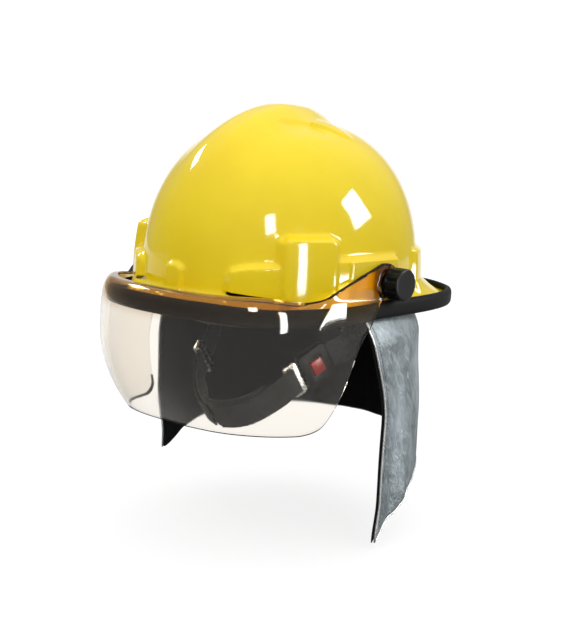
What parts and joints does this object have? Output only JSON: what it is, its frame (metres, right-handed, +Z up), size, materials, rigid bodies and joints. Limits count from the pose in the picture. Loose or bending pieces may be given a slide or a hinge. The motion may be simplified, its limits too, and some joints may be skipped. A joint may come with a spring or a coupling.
{
  "type": "fire helmet",
  "caption": "Structural fire helmet: ridged moulded shell with rubber-edged brim, hinged smoke visor on clamping knobs, ratchet headband, cradle, chin strap and aluminised neck curtain.",
  "frame": {"origin": "centre of the head opening, level with the foot of the dome", "axes": "+X to the wearer's left, -Y to the front, +Z up to the crown"},
  "size_m": [0.28, 0.346, 0.3984],
  "materials": {
    "shell": "gloss",
    "trim": "satin",
    "visor": "gloss",
    "knob": "satin",
    "steel": "satin",
    "fibre": "matte",
    "foam": "matte",
    "webbing": "matte",
    "padding": "matte",
    "key": "satin",
    "band": "satin",
    "housing": "satin",
    "zinc": "polished",
    "button": "gloss",
    "aluminised": "satin",
    "lining": "matte",
    "binding": "satin"
  },
  "bodies": {
    "helmet": {"shell": "shell", "edge_trim": "trim", "pivot_bolt_left": "steel", "pivot_bolt_right": "steel", "friction_washers": "fibre", "knob_washers": "steel", "impact_liner": "foam", "cradle_strap_middle": "webbing", "cradle_strap_left": "webbing", "cradle_strap_right": "webbing", "crown_pad": "padding", "suspension_keys": "key", "headband": "band", "brow_pad": "padding", "ratchet_housing": "housing", "ratchet_cover": "housing", "nape_pad": "padding", "chin_strap_left": "webbing", "chin_strap_right": "webbing", "chin_pad": "padding", "buckle_socket": "housing", "buckle_tongue": "zinc", "strap_slider": "zinc", "strap_hangers": "zinc", "hanger_rivets": "zinc", "neck_curtain": "aluminised", "curtain_lining": "lining", "curtain_binding": "binding", "curtain_tape": "lining"},
    "visor": {"visor": "visor"},
    "visor_knob_left": {"visor_knob_left": "knob"},
    "visor_knob_right": {"visor_knob_right": "knob"},
    "nape_band_left": {"nape_band_left": "band"},
    "nape_band_right": {"nape_band_right": "band"},
    "ratchet_knob": {"ratchet_knob": "housing"},
    "release_button": {"release_button": "button"}
  },
  "joints": [
    {"name": "visor_hinge", "type": "hinge", "parent": "helmet", "child": "visor", "pos_m": [0, 0.0065, 0.0095], "axis": [-1, 0, 0], "range_deg": [0, 75]},
    {"name": "knob_left_turn", "type": "hinge", "parent": "helmet", "child": "visor_knob_left", "pos_m": [0.14, 0.0065, 0.0095], "axis": [1, 0, 0], "range_deg": [0, 180]},
    {"name": "knob_right_turn", "type": "hinge", "parent": "helmet", "child": "visor_knob_right", "pos_m": [-0.14, 0.0065, 0.0095], "axis": [-1, 0, 0], "range_deg": [0, 180]},
    {"name": "ratchet_knob_turn", "type": "hinge", "parent": "helmet", "child": "ratchet_knob", "pos_m": [0, 0.108, -0.02], "axis": [0, 1, 0], "range_deg": [-115, 115]},
    {"name": "nape_band_left_draw", "type": "hinge", "parent": "helmet", "child": "nape_band_left", "pos_m": [0, 0.018, -0.02], "axis": [0, 0, 1], "range_deg": [-10.4, 10.4]},
    {"name": "nape_band_right_draw", "type": "hinge", "parent": "helmet", "child": "nape_band_right", "pos_m": [0, 0.018, -0.02], "axis": [0, 0, 1], "range_deg": [-10.4, 10.4]},
    {"name": "release_button_press", "type": "slide", "parent": "helmet", "child": "release_button", "axis": [-0.9471, 0.3181, 0.0438], "range_m": [0, 0.0013], "stiffness_N_per_m": 300, "springref_m": -0.001}
  ],
  "couplings": [
    {"joint": "nape_band_left_draw", "follows": "ratchet_knob_turn", "ratio": -0.090036},
    {"joint": "nape_band_right_draw", "follows": "ratchet_knob_turn", "ratio": 0.090036}
  ]
}
